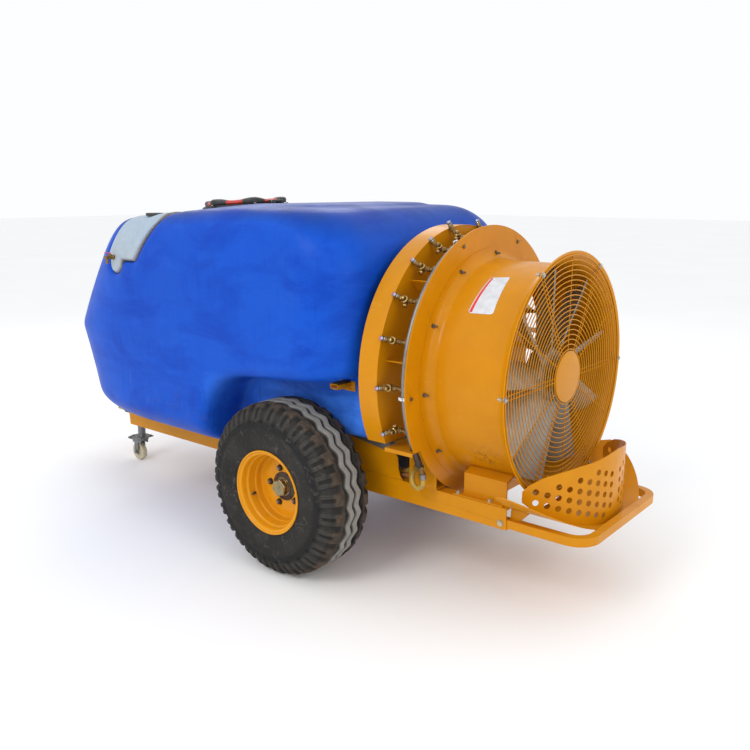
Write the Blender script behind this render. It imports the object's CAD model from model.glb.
import bpy, bmesh, math
import numpy as np
from mathutils import Vector, Matrix


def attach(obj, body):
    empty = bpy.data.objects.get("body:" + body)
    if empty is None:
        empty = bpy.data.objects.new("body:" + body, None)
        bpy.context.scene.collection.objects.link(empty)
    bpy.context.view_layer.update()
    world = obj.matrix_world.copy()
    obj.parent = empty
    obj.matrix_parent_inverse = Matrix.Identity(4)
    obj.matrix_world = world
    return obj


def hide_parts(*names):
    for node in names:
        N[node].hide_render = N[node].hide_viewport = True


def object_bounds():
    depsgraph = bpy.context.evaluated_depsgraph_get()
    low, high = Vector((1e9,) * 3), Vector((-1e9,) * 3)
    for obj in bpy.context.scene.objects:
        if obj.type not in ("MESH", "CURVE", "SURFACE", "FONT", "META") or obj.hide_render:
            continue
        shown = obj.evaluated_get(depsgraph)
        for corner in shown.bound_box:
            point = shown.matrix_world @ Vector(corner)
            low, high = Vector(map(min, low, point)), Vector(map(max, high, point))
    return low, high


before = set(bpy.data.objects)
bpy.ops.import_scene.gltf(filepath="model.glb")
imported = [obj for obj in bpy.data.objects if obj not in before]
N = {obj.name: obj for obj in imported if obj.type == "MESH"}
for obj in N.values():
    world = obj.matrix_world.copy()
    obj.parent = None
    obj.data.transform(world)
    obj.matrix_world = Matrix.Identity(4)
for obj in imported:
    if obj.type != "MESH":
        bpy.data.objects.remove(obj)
CAD_LO, CAD_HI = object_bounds()
AX, FZ, AZ = .46, .84, .355          # axle x, fan axis height, axle height
MOUTH, FLANGE = AX + .930, AX + .584
rng = np.random.RandomState(7)
scene = bpy.context.scene

# ---------------------------------------------------------------- materials
class Mat:
    def __init__(s, name):
        s.m = bpy.data.materials.new(name); s.m.use_nodes = True
        s.nt = s.m.node_tree; s.nt.nodes.clear()
        s.out = s.nt.nodes.new("ShaderNodeOutputMaterial")
        s.b = s.nt.nodes.new("ShaderNodeBsdfPrincipled")
        s.nt.links.new(s.b.outputs[0], s.out.inputs[0])
        s.tc = s.nt.nodes.new("ShaderNodeTexCoord")
    def n(s, kind, **kw):
        x = s.nt.nodes.new(kind)
        for k, v in kw.items(): setattr(x, k, v)
        return x
    def l(s, a, b): s.nt.links.new(a, b)
    def noise(s, scale, detail=4, rough=.55, stretch=None, dist=0):
        x = s.n("ShaderNodeTexNoise"); x.inputs["Scale"].default_value = scale; x.inputs["Detail"].default_value = detail
        x.inputs["Roughness"].default_value = rough; x.inputs["Distortion"].default_value = dist
        if stretch is None: s.l(s.tc.outputs["Object"], x.inputs["Vector"])
        else:
            mp = s.n("ShaderNodeMapping"); mp.inputs["Scale"].default_value = stretch
            if len(stretch) > 3: mp.inputs["Scale"].default_value = stretch[:3]
            s.l(s.tc.outputs["Object"], mp.inputs["Vector"]); s.l(mp.outputs[0], x.inputs["Vector"])
        return x.outputs["Fac"]
    def ramp(s, src, lo, hi, a=0., b=1., clamp=True):
        x = s.n("ShaderNodeMapRange"); x.clamp = clamp
        x.inputs["From Min"].default_value = lo; x.inputs["From Max"].default_value = hi
        x.inputs["To Min"].default_value = a; x.inputs["To Max"].default_value = b
        s.l(src, x.inputs["Value"]); return x.outputs["Result"]
    def math(s, op, a, b=None):
        x = s.n("ShaderNodeMath"); x.operation = op
        for i, v in enumerate((a, b)):
            if v is None: continue
            if isinstance(v, (int, float)): x.inputs[i].default_value = v
            else: s.l(v, x.inputs[i])
        return x.outputs[0]
    def mix(s, fac, a, b, mode="MIX"):
        x = s.n("ShaderNodeMix"); x.data_type = "RGBA"; x.blend_type = mode
        for i, v in ((0, fac), (6, a), (7, b)):
            if isinstance(v, (int, float)): x.inputs[i].default_value = v
            elif isinstance(v, tuple): x.inputs[i].default_value = (*v, 1)
            else: s.l(v, x.inputs[i])
        return x.outputs[2]
    def xyz(s, which="Object"):
        x = s.n("ShaderNodeSeparateXYZ"); s.l(s.tc.outputs[which], x.inputs[0]); return x.outputs
    def normal_z(s):
        g = s.n("ShaderNodeNewGeometry"); x = s.n("ShaderNodeSeparateXYZ"); s.l(g.outputs["Normal"], x.inputs[0]); return x.outputs[2]
    def bump(s, *pairs):
        prev = None
        for h, strength, dist in pairs:
            b = s.n("ShaderNodeBump"); b.inputs["Strength"].default_value = strength; b.inputs["Distance"].default_value = dist
            s.l(h, b.inputs["Height"])
            if prev is not None: s.l(prev, b.inputs["Normal"])
            prev = b.outputs[0]
        s.l(prev, s.b.inputs["Normal"])
    def color(s, c): s.l(c, s.b.inputs["Base Color"])
    def rough(s, r):
        if isinstance(r, float): s.b.inputs["Roughness"].default_value = r
        else: s.l(r, s.b.inputs["Roughness"])
    def set(s, **kw):
        for k, v in kw.items(): s.b.inputs[k].default_value = v

def amber(name, base=(.610, .240, .0012), scuff=None, dull=1.0):
    a = Mat(name)
    big = a.noise(2.2, 3); mid = a.noise(14, 5); fine = a.noise(420, 2)
    c = a.mix(a.ramp(big, .3, .7), tuple(x * .93 for x in base), tuple(min(1, x * 1.05) for x in base))
    c = a.mix(a.ramp(mid, .35, .75, 0, .35), c, (base[0] * .80, base[1] * .72, base[2]))
    nz = a.normal_z()
    dust = a.math("MULTIPLY", a.ramp(nz, .3, 1.0, 0, .5), a.ramp(a.noise(30, 6, .7), .42, .75))
    c = a.mix(dust, c, (.48, .235, .030))
    # chips and handling marks
    chip = a.ramp(a.noise(55, 7, .72), .70, .735)
    c = a.mix(a.math("MULTIPLY", chip, .55), c, (.20, .12, .05))
    sc = a.ramp(a.noise(24, 2, .5, stretch=(1, 1, 14)), .655, .685)
    sc = a.math("MULTIPLY", sc, a.ramp(a.noise(5, 2), .5, .62))
    c = a.mix(a.math("MULTIPLY", sc, .35), c, (.72, .42, .12))
    if scuff is not None:
        v = a.n("ShaderNodeVectorMath"); v.operation = "DISTANCE"; a.l(a.tc.outputs["Object"], v.inputs[0]); v.inputs[1].default_value = scuff
        near = a.ramp(v.outputs["Value"], .02, .085, 1, 0)
        blot = a.ramp(a.noise(70, 4, .7, stretch=(1, 1, .55)), .50, .60)
        c = a.mix(a.math("MULTIPLY", a.math("MULTIPLY", near, blot), .75), c, (.12, .06, .02))
    a.color(c)
    a.rough(a.ramp(mid, .3, .7, .30 * dull, .42 * dull))
    a.bump((big, .12, .006), (mid, .10, .0016), (fine, .12, .00022))
    a.set(**{"Coat Weight": .16, "Coat Roughness": .10, "Specular IOR Level": .12})
    return a.m

def metal(name, base, metallic=.85, rough=(.32, .5), spots=(.10, .08, .06), spot=.5, scale=60, tint=None, oxide=None):
    a = Mat(name)
    n1 = a.noise(scale, 5, .6); n2 = a.noise(scale * .22, 3); fine = a.noise(900, 2)
    c = a.mix(a.ramp(n1, .35, .7), tuple(x * .78 for x in base), tuple(min(1, x * 1.12) for x in base))
    if tint: c = a.mix(a.ramp(n2, .42, .62, 0, .6), c, tint)
    c = a.mix(a.math("MULTIPLY", a.ramp(a.noise(scale * 1.7, 6, .7), .56, .68), spot), c, spots)
    if oxide: c = a.mix(a.ramp(a.noise(scale * .5, 4, .7), .52, .68, 0, .75), c, oxide)
    a.color(c); a.rough(a.ramp(n1, .3, .7, rough[0], rough[1]))
    a.set(Metallic=metallic)
    a.bump((n1, .18, .0006), (fine, .15, .0001))
    return a.m

def plastic(name, base, rough=(.4, .55), dust=(.35, .30, .22), amount=.35, sub=0, scale=30):
    a = Mat(name)
    n1 = a.noise(scale, 4); n2 = a.noise(scale * 5, 5, .7); fine = a.noise(700, 2)
    c = a.mix(a.ramp(n1, .3, .7), tuple(x * .85 for x in base), tuple(min(1, x * 1.12) for x in base))
    d = a.math("MULTIPLY", a.ramp(a.normal_z(), -.2, 1, .25, 1), a.ramp(n2, .45, .75, 0, amount))
    c = a.mix(d, c, dust)
    a.color(c); a.rough(a.ramp(n2, .3, .7, rough[0], rough[1]))
    if sub: a.set(**{"Subsurface Weight": sub, "Subsurface Scale": .01})
    a.bump((n1, .1, .0015), (fine, .2, .00015))
    return a.m

AMBER = amber("amber_paint_worn")
AMBER_DUCT = amber("amber_paint_duct", scuff=(AX + .788, -.325, .573))
AMBER_RIM = amber("amber_paint_rim", base=(.70, .290, .006), dull=.8)
AMBER_WIRE = amber("amber_paint_wire", base=(.60, .240, .002), dull=.8)
ZINC = metal("zinc_plated", (.52, .50, .44), tint=(.55, .44, .24), spot=.35)
ZINC_HUB = metal("zinc_yellow_hub", (.27, .245, .17), tint=(.40, .30, .11), spot=.35, scale=40, rough=(.20, .34), oxide=(.13, .15, .12))
CASTER = metal("caster_zinc", (.19, .195, .20), metallic=.55, tint=(.19, .19, .19), spot=.45, spots=(.10, .065, .04), scale=40, rough=(.36, .52))
STUD = metal("stud_steel", (.21, .165, .115), metallic=.75, rough=(.34, .5), tint=(.12, .08, .05))
BRASS_FACE = metal("brass_polished_face", (.55, .38, .13), metallic=.9, rough=(.18, .32), spots=(.10, .07, .03), spot=.5, scale=85)
GREY_STEEL = metal("raw_steel", (.24, .24, .235), metallic=.7, rough=(.4, .6), tint=(.26, .20, .15))
DARK_STEEL = metal("dark_steel", (.055, .048, .042), metallic=.6, rough=(.4, .6), tint=(.12, .07, .04))
PIPE = metal("galvanised_pipe", (.26, .25, .235), metallic=.75, rough=(.34, .52), spots=(.14, .12, .10), tint=(.30, .29, .28))
BRASS = metal("brass_fittings", (.30, .185, .062), metallic=.9, rough=(.24, .42), spots=(.06, .04, .018), spot=.7, scale=85, oxide=(.13, .085, .035))
TIP = metal("tip_steel", (.40, .40, .44), metallic=.9, rough=(.18, .3), spot=.2, scale=90)
BRIGHT = metal("bright_zinc", (.70, .72, .72), metallic=.9, rough=(.2, .32), spot=.15, scale=90)
FANGREY = metal("fan_alloy", (.40, .43, .40), metallic=.35, rough=(.42, .55), spots=(.25, .26, .23), spot=.4, scale=18)
BLACKP = plastic("black_plastic", (.018, .019, .02), dust=(.16, .15, .14), amount=.5)
REDP = plastic("red_plastic", (.50, .018, .014), dust=(.45, .25, .2), amount=.25)
PUMPRED = plastic("pump_enamel", (.42, .035, .02), dust=(.3, .2, .15), amount=.3, rough=(.3, .45))
TIPRED = plastic("tip_insert", (.55, .09, .34), amount=.1)
ORANGE = plastic("orange_plastic", (.75, .22, .02), amount=.15)
RUBBER = plastic("mat_rubber", (.11, .10, .088), rough=(.65, .8), dust=(.28, .25, .21), amount=.8)
BELT = plastic("belt_rubber", (.018, .018, .018), rough=(.6, .75), amount=.2)
CREAM = plastic("caster_cream", (.55, .49, .34), dust=(.22, .17, .11), amount=.75, scale=60, rough=(.45, .6))
MESHP = plastic("mesh_plastic", (.10, .10, .11), amount=.2)
WHITE = plastic("blank_white", (.62, .64, .68), rough=(.28, .36), dust=(.6, .55, .48), amount=.12)
REDBAND = plastic("plain_red", (.66, .03, .04), rough=(.28, .36), amount=.08)

def hose_mat():
    a = Mat("hose_pvc"); n1 = a.noise(38, 5, .65); n2 = a.noise(9, 3)
    c = a.mix(a.ramp(n2, .35, .65), (.50, .30, .018), (.40, .25, .03))
    c = a.mix(a.ramp(n1, .45, .68, 0, .75), c, (.22, .16, .085))
    a.color(c); a.rough(a.ramp(n1, .3, .7, .32, .55))
    a.bump((n1, .15, .0008), (a.noise(600, 2), .2, .00015)); a.set(**{"Coat Weight": .25, "Coat Roughness": .3}); return a.m
HOSE = hose_mat()

def tank_mat():
    a = Mat("blue_polyethylene")
    big = a.noise(1.1, 3, .5); mid = a.noise(5.5, 5, .6); fine = a.noise(260, 3)
    c = a.mix(a.ramp(big, .30, .70), (.0045, .066, .47), (.0075, .094, .57))
    c = a.mix(a.ramp(mid, .45, .8, 0, .45), c, (.014, .075, .44))
    z = a.xyz()
    # chalky film: on the shoulders, the nose and where water ran down
    runs = a.noise(7, 5, .6, stretch=(6, 6, .35))
    film = a.math("MULTIPLY", a.ramp(runs, .40, .75), a.ramp(z[0], -1.15, .25, .30, .10))
    c = a.mix(film, c, (.014, .110, .56))
    top = a.math("MULTIPLY", a.ramp(a.normal_z(), .50, .95, 0, .95), a.ramp(mid, .25, .75, .55, 1))
    c = a.mix(top, c, (.006, .036, .185))
    # scratches round the arch, fine scratches elsewhere
    sc = a.ramp(a.noise(11, 3, .6, stretch=(9, 9, .5), dist=.4), .66, .69)
    low = a.math("MULTIPLY", a.ramp(z[2], .95, .70, 0, 1), a.ramp(z[0], .32, -.12, 0, 1))
    c = a.mix(a.math("MULTIPLY", a.math("MULTIPLY", sc, low), .16), c, (.30, .36, .55))
    near = a.math("MULTIPLY", a.ramp(z[0], .02, .22), a.ramp(z[2], .80, .70))
    c = a.mix(near, c, (.062, .250, .95))
    # handling marks: broad dark smears, pale rubbed bands and hair scratches
    smear = a.ramp(a.noise(3.2, 6, .62, stretch=(1, 1, 2.2), dist=.5), .46, .64)
    c = a.mix(a.math("MULTIPLY", smear, .55), c, (.0028, .036, .36))
    drag = a.ramp(a.noise(5.5, 5, .65, stretch=(.8, .8, 3.0), dist=.6), .54, .72)
    c = a.mix(a.math("MULTIPLY", drag, .16), c, (.030, .135, .66))
    vert = a.ramp(a.noise(9, 4, .6, stretch=(4, 4, .45)), .55, .74)
    c = a.mix(a.math("MULTIPLY", vert, .30), c, (.0030, .042, .37))
    rub = a.ramp(a.noise(42, 7, .75, dist=.2), .60, .72)
    c = a.mix(a.math("MULTIPLY", rub, a.ramp(a.noise(2.6, 3), .45, .65, 0, .22)), c, (.09, .20, .62))
    sc2 = a.ramp(a.noise(5, 3, .6, stretch=(1, 2, 34), dist=.35), .715, .74)
    c = a.mix(a.math("MULTIPLY", sc2, .10), c, (.16, .26, .68))
    # soil film low down and blotches
    dirt = a.math("MULTIPLY", a.ramp(a.noise(18, 6, .7), .52, .72), a.ramp(z[2], .80, .45, 0, .30))
    c = a.mix(dirt, c, (.10, .09, .10))
    a.color(c); a.rough(a.ramp(mid, .3, .7, .34, .48))
    a.bump((big, .25, .02), (mid, .16, .006), (fine, .16, .0003))
    a.set(**{"Specular IOR Level": .07, "Coat Weight": .03, "Coat Roughness": .20})
    return a.m
BLUE = tank_mat()

def wash_mat():
    a = Mat("natural_polyethylene"); n1 = a.noise(22, 5, .65); n2 = a.noise(5, 3)
    c = a.mix(a.ramp(n1, .35, .7), (.29, .38, .48), (.37, .46, .55))
    c = a.mix(a.ramp(a.xyz()[2], 1.36, 1.20, 0, .45), c, (.40, .42, .42))
    c = a.mix(a.ramp(a.noise(60, 5, .7), .55, .72, 0, .4), c, (.36, .34, .30))
    a.color(c); a.rough(a.ramp(n1, .3, .7, .4, .55)); a.bump((n2, .2, .006), (a.noise(300, 3), .2, .0003)); return a.m
WASH = wash_mat()
def seam_mat():
    a = Mat("seam_shadow"); n1 = a.noise(60, 5); c = a.mix(a.ramp(n1, .35, .7), (.17, .15, .14), (.30, .26, .22)); a.color(c); a.rough(.8); a.bump((n1, .2, .001)); return a.m
SEAM = seam_mat()

def tyre_mat():
    a = Mat("tyre_rubber")
    at = a.n("ShaderNodeAttribute"); at.attribute_name = "tread"; tread = at.outputs["Fac"]
    ag = a.n("ShaderNodeAttribute"); ag.attribute_name = "groove"; groove = ag.outputs["Fac"]
    ap = a.n("ShaderNodeAttribute"); ap.attribute_name = "pad"; pad = ap.outputs["Fac"]
    n1 = a.noise(26, 6, .68); n2 = a.noise(7, 4, .6); fine = a.noise(240, 4, .7)
    side = a.mix(a.ramp(n2, .35, .68), (.014, .0135, .0125), (.027, .0255, .023))
    side = a.mix(a.ramp(n1, .50, .76, 0, .70), side, (.070, .058, .046))
    rib = a.mix(a.ramp(n1, .3, .7), (.205, .197, .182), (.295, .282, .258))
    ad = a.n("ShaderNodeAttribute"); ad.attribute_name = "dep"; dep = ad.outputs["Fac"]
    side = a.mix(a.math("MULTIPLY", a.ramp(dep, .30, .36), a.ramp(dep, .50, .44)), side, (.013, .013, .0135))
    side = a.mix(a.math("MULTIPLY", a.math("MULTIPLY", a.ramp(dep, .08, .14), a.ramp(dep, .32, .26)), a.ramp(n1, .3, .7, .25, .75)), side, (.062, .058, .052))
    scr = a.ramp(a.noise(20, 5, .7, dist=1.2), .60, .63)
    side = a.mix(a.math("MULTIPLY", scr, .30), side, (.13, .115, .095))
    c = a.mix(tread, side, rib)
    c = a.mix(a.math("MULTIPLY", pad, a.ramp(n1, .35, .62, .15, .75)), c, (.105, .072, .048))
    c = a.mix(a.math("MULTIPLY", groove, .92), c, (.012, .011, .010))
    a.color(c); a.rough(a.ramp(n1, .3, .7, .62, .85)); a.bump((n1, .25, .0012), (fine, .35, .0004)); a.set(**{"Specular IOR Level": .22})
    return a.m
TYRE = tyre_mat()

# ---------------------------------------------------------------- mesh helpers
def T(x=0, y=0, z=0): m = np.eye(4); m[:3, 3] = (x, y, z); return m
def R(axis, deg):
    a = math.radians(deg); c, s = math.cos(a), math.sin(a); m = np.eye(4)
    i, j = {"x": (1, 2), "y": (2, 0), "z": (0, 1)}[axis]
    m[i, i] = c; m[i, j] = -s; m[j, i] = s; m[j, j] = c; return m
MIRY = np.diag([1., -1., 1., 1.])
def fan(a): return T(0, 0, FZ) @ R("x", -a)          # child sits at -y, radius outwards
TOX = R("y", 90)                                       # local z -> +x
TONY = R("x", 90)                                      # local z -> -y
class B:
    def __init__(s): s.v, s.f, s.m, s.n = [], [], [], 0
    def add(s, VF, mat=0, X=None):
        V, F = VF; V = np.asarray(V, float)
        if X is not None:
            V = V @ X[:3, :3].T + X[:3, 3]
            if np.linalg.det(X[:3, :3]) < 0: F = [tuple(reversed(f)) for f in F]
        s.v.append(V); s.f += [tuple(int(i) + s.n for i in f) for f in F]; s.m += [mat] * len(F); s.n += len(V)
        return s
    def obj(s, name, mats, body="root", angle=32, replaces=(), attrs=None):
        me = bpy.data.meshes.new(name)
        me.from_pydata(np.concatenate(s.v).tolist(), [], s.f)
        for m in (mats if isinstance(mats, (list, tuple)) else [mats]): me.materials.append(m)
        me.polygons.foreach_set("material_index", s.m)
        me.polygons.foreach_set("use_smooth", [True] * len(s.f)); me.update()
        if angle < 180: me.set_sharp_from_angle(angle=math.radians(angle))
        if attrs:
            for k, v in attrs.items():
                at = me.attributes.new(k, "FLOAT", "POINT"); at.data.foreach_set("value", np.asarray(v, np.float32))
        o = bpy.data.objects.new(name, me); scene.collection.objects.link(o)
        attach(o, body)
        if replaces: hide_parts(*replaces)
        return o
def lathe(prof, n=48, phase=0.):
    """Surface of revolution about local z from (radius, z) points; a radius of 0 closes it in a point."""
    V, F, rings = [], [], []
    a = phase + np.arange(n) * 2 * math.pi / n
    for r, z in prof:
        if r < 1e-7: rings.append([len(V)]); V.append((0, 0, z))
        else:
            rings.append(list(range(len(V), len(V) + n))); V += [(r * math.cos(t), r * math.sin(t), z) for t in a]
    for p, q in zip(rings, rings[1:]):
        for k in range(n):
            k2 = (k + 1) % n
            if len(p) == 1 and len(q) == 1: continue
            if len(p) == 1: F.append((p[0], q[k2], q[k]))
            elif len(q) == 1: F.append((p[k], p[k2], q[0]))
            else: F.append((p[k], p[k2], q[k2], q[k]))
    return V, F
def loopit(prof, n=96):
    """Closed profile turned round local z."""
    return lathe(list(prof) + [prof[0]], n)
def hexa(r, z0, z1, c=.001, n=6, phase=0.):
    return lathe([(0, z0), (r - c, z0), (r, z0 + c), (r, z1 - c), (r - c, z1), (0, z1)], n, phase)
def cyl(r, z0, z1, c=.0006, n=32): return hexa(r, z0, z1, c, n)
def tube(P, r, n=12, closed=False, cap=True):
    P = np.asarray(P, float); m = len(P); r = np.broadcast_to(np.asarray(r, float), (m,))
    Tn = np.roll(P, -1, 0) - np.roll(P, 1, 0) if closed else np.gradient(P, axis=0)
    Tn /= np.linalg.norm(Tn, axis=1)[:, None]
    u = np.cross(Tn[0], (0.13, .31, .94)); u /= np.linalg.norm(u); U = [u]
    for i in range(1, m):
        v = U[-1] - (U[-1] @ Tn[i]) * Tn[i]; U.append(v / np.linalg.norm(v))
    if closed:   # spread the leftover twist
        v = U[-1] - (U[-1] @ Tn[0]) * Tn[0]; v /= np.linalg.norm(v)
        tw = math.atan2(np.cross(U[0], v) @ Tn[0], U[0] @ v)
        for i in range(m):
            b = np.cross(Tn[i], U[i]); g = -tw * i / m; U[i] = U[i] * math.cos(g) + b * math.sin(g)
    U = np.array(U); W = np.cross(Tn, U); a = np.arange(n) * 2 * math.pi / n
    V = (P[:, None] + r[:, None, None] * (U[:, None] * np.cos(a)[None, :, None] + W[:, None] * np.sin(a)[None, :, None])).reshape(-1, 3)
    F = []
    for i in range(m if closed else m - 1):
        j = (i + 1) % m
        for k in range(n): k2 = (k + 1) % n; F.append((i * n + k, i * n + k2, j * n + k2, j * n + k))
    if cap and not closed: F.append(tuple(range(n - 1, -1, -1))); F.append(tuple((m - 1) * n + k for k in range(n)))
    return V, F
def smooth_path(p, n):
    p = np.asarray(p, float); m = len(p) - 1; out = []
    for i in range(m):
        a, b, c, d = p[max(i - 1, 0)], p[i], p[i + 1], p[min(i + 2, m)]
        for k in range(n):
            t = k / n; out.append(.5 * (2 * b + (c - a) * t + (2 * a - 5 * b + 4 * c - d) * t * t + (3 * b - a - 3 * c + d) * t ** 3))
    out.append(p[-1]); return np.array(out)
def brick(x0, x1, y0, y1, z0, z1, c=.001):
    """Box with chamfered edges."""
    bm = bmesh.new(); bmesh.ops.create_cube(bm, size=1)
    for v in bm.verts: v.co = Vector(((x0 + x1) / 2 + v.co.x * (x1 - x0), (y0 + y1) / 2 + v.co.y * (y1 - y0), (z0 + z1) / 2 + v.co.z * (z1 - z0)))
    bmesh.ops.bevel(bm, geom=list(bm.edges), offset=c, segments=2, profile=.5, affect="EDGES")
    bm.verts.index_update(); V = [tuple(v.co) for v in bm.verts]; F = [tuple(v.index for v in f.verts) for f in bm.faces]; bm.free(); return V, F
def dress(names, mat, bevel=.0012, body=None):
    """Finish of a CAD node: its material, and small rounded edges."""
    for n in ([names] if isinstance(names, str) else names):
        o = N[n]; o.data.materials.clear(); o.data.materials.append(mat)
        if bevel:
            if "custom_normal" in o.data.attributes: o.data.attributes.remove(o.data.attributes["custom_normal"])
            o.data.polygons.foreach_set("use_smooth", [True] * len(o.data.polygons))
            w = o.modifiers.new("weld", "WELD"); w.merge_threshold = 2e-5
            b = o.modifiers.new("edges", "BEVEL"); b.width = bevel; b.segments = 2; b.limit_method = "ANGLE"; b.angle_limit = math.radians(38); b.harden_normals = True
            b.use_clamp_overlap = True; b.miter_outer = "MITER_SHARP"

# ---------------------------------------------------------------- tank
def sd_poly(P, x, z):
    """Signed distance to a polygon in the side view."""
    P = np.asarray(P, float); d = np.full(np.broadcast(x, z).shape, 1e9); inside = np.zeros(d.shape, bool)
    for (ax_, az_), (bx, bz) in zip(P, np.roll(P, -1, 0)):
        ex, ez = bx - ax_, bz - az_; wx, wz = x - ax_, z - az_
        t = np.clip((wx * ex + wz * ez) / (ex * ex + ez * ez), 0, 1)
        d = np.minimum(d, np.hypot(wx - ex * t, wz - ez * t))
        if abs(ez) > 1e-12: inside ^= ((az_ > z) != (bz > z)) & (x < (bx - ax_) * (z - az_) / ez + ax_)
    return np.where(inside, -d, d)
def chaikin(P, n=2, closed=False):
    P = np.asarray(P, float)
    for _ in range(n):
        Q = [P[0]]
        for a, b in zip(P, P[1:]): Q += [.75 * a + .25 * b, .25 * a + .75 * b]
        P = np.array(Q + [P[-1]])
    return P
def smax(a, b, k):
    h = np.maximum(k - np.abs(a - b), 0) / k
    return np.maximum(a, b) + h * h * k * .25
def rnd(z, z0, r, q):
    t = np.clip((z - z0) / (1.468 - z0), 0, 1); return r * (1 - np.power(np.maximum(0, 1 - t ** q), 1 / q))
def nose_front(s):
    return -1.638 + np.where(s > .864, .578 * (s - .864), .358 * (.864 - s)) + rnd(s, 1.438, .22, 2) + np.maximum(0, .45 - s) * .9
def half_width(s):
    return np.where(s < .462, .36 + .2 * (s - .378) / .084, np.where(s < .56, .56 + .08 * np.sin(np.pi / 2 * np.clip((s - .462) / .098, 0, 1)), .64 - rnd(s, 1.129, .237, 3.77)))
ARCH = np.vstack([[(-.436, .300)], chaikin([(-.432, .330), (-.430, .560), (-.402, .660), (-.345, .735), (-.250, .776), (-.100, .792), (.420, .836)], 2), [(.440, .300)]])
SEAT = [(-1.120, 1.218), (-1.024, 1.400), (-1.010, 1.520), (-.715, 1.520), (-.728, 1.395), (-.866, 1.218)]
def seat(x, y, z):
    return np.maximum(np.minimum(sd_poly(SEAT, x, z), np.hypot(x + 1.022, z - 1.206) - .050), y + .470)
def body_field(x, y, z):
    """Shape of the shell before the cut-outs; x runs from the axle."""
    s0 = np.linspace(.30, 1.56, 700)
    S = np.empty((x.shape[0], 1, z.shape[2]))
    for i, xx in enumerate(x[:, 0, 0]):
        drop = np.where(s0 > .864, .069 * max(0, -.3 - xx) * ((s0 - .864) / .604) ** 2, 0)
        rise = .085 * min(1, max(0, (xx + 1.55) / .9)) * np.where(s0 < .864, np.clip((s0 - .56) / .304, 0, 1), np.clip((1.2 - s0) / .336, 0, 1))
        zz = s0 - drop + rise
        S[i, 0] = np.interp(z[0, 0], zz, s0)
    w, xf, xr = half_width(S), nose_front(S), .33 - rnd(S, 1.204, .277, 2)
    q = 3.14
    u = np.maximum(0, xf + .75 - x) / .75; v = np.abs(y) / w
    base = np.power(u ** q + v ** q + 1e-9, 1 / q)
    g = np.sqrt(((u / base) ** (q - 1) / .75) ** 2 + ((v / base) ** (q - 1) / w) ** 2)
    F = (base - 1) / np.maximum(g, .8)
    rc = .205; dx, dy = x - (xr - rc), np.abs(y) - (w - rc)
    F = np.maximum(F, np.hypot(np.maximum(dx, 0), np.maximum(dy, 0)) + np.minimum(np.maximum(dx, dy), 0) - rc)
    return np.maximum(F, np.maximum(S - 1.468, .378 - S)), S
def blur(F, n):
    for _ in range(n):
        for ax_ in range(3):
            p = np.concatenate([np.take(F, [0], ax_), F, np.take(F, [-1], ax_)], ax_)
            m = F.shape[ax_]
            F = (np.take(p, range(0, m), ax_) + np.take(p, range(1, m + 1), ax_) + np.take(p, range(2, m + 2), ax_)) / 3
    return F
def nets(F, o, h):
    ins = F < 0; c = np.zeros(np.array(F.shape) - 1, np.int8)
    for i in (0, 1):
        for j in (0, 1):
            for k in (0, 1): c += ins[i:ins.shape[0] - 1 + i, j:ins.shape[1] - 1 + j, k:ins.shape[2] - 1 + k]
    I = np.argwhere((c > 0) & (c < 8)); idx = np.full(c.shape, -1); idx[tuple(I.T)] = np.arange(len(I))
    P = np.zeros((len(I), 3)); cnt = np.zeros(len(I))
    for ax_ in range(3):
        o1, o2 = [a for a in range(3) if a != ax_]
        for p in (0, 1):
            for q in (0, 1):
                A = I.copy(); A[:, o1] += p; A[:, o2] += q; Bq = A.copy(); Bq[:, ax_] += 1
                a, b = F[tuple(A.T)], F[tuple(Bq.T)]; m = (a < 0) != (b < 0)
                t = a / np.where(a == b, 1, a - b); pos = A.astype(float); pos[:, ax_] += t
                P[m] += pos[m]; cnt[m] += 1
    P = np.asarray(o) + P / cnt[:, None] * h
    faces = []
    for ax_ in range(3):
        o1, o2 = (ax_ + 1) % 3, (ax_ + 2) % 3
        sl = [slice(1, -1)] * 3; sl[ax_] = slice(0, -1); sl2 = list(sl); sl2[ax_] = slice(1, None)
        a, b = ins[tuple(sl)], ins[tuple(sl2)]; E = np.argwhere(a != b); flip = ~a[tuple(E.T)]
        off = np.array([1, 1, 1]); off[ax_] = 0; E = E + off
        def cell(p, q):
            C = E.copy(); C[:, o1] += p; C[:, o2] += q; return idx[tuple(C.T)]
        Q = np.stack([cell(-1, -1), cell(0, -1), cell(0, 0), cell(-1, 0)], 1)
        Q[flip] = Q[flip][:, ::-1]; faces.append(Q)
    return P, np.concatenate(faces)
def relax(P, Q, n=2, lam=.5, keep=None):
    e = np.concatenate([Q[:, [0, 1]], Q[:, [1, 2]], Q[:, [2, 3]], Q[:, [3, 0]]])
    for k in range(n):
        for l in (lam, -lam * 1.04):
            S_ = np.zeros_like(P); cn = np.zeros(len(P))
            np.add.at(S_, e[:, 0], P[e[:, 1]]); np.add.at(cn, e[:, 0], 1)
            P = P + l * (S_ / np.maximum(cn, 1)[:, None] - P)
    return P
def grid(lo, hi, h):
    n = [int(round((b - a) / h)) + 1 for a, b in zip(lo, hi)]
    return [np.arange(m) * h + a for m, a in zip(n, lo)]
def shell_piece(lo, hi, h, fn, soft, name, mat, nodes, drop=None, relaxn=3):
    gx, gy, gz = grid(lo, hi, h); x, y, z = gx[:, None, None], gy[None, :, None], gz[None, None, :]
    F = np.clip(fn(x, y, z), -.05, .05); F = blur(F, soft)
    P, Q = nets(F, lo, h); P = relax(P, Q, relaxn); P[:, 0] += AX
    if drop is not None: Q = Q[~drop(P[Q].mean(1))]
    used = np.unique(Q); mp = np.full(len(P), -1); mp[used] = np.arange(len(used))
    b = B(); b.add((P[used], mp[Q]), 0); return b.obj(name, mat, angle=180, replaces=nodes)
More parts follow.
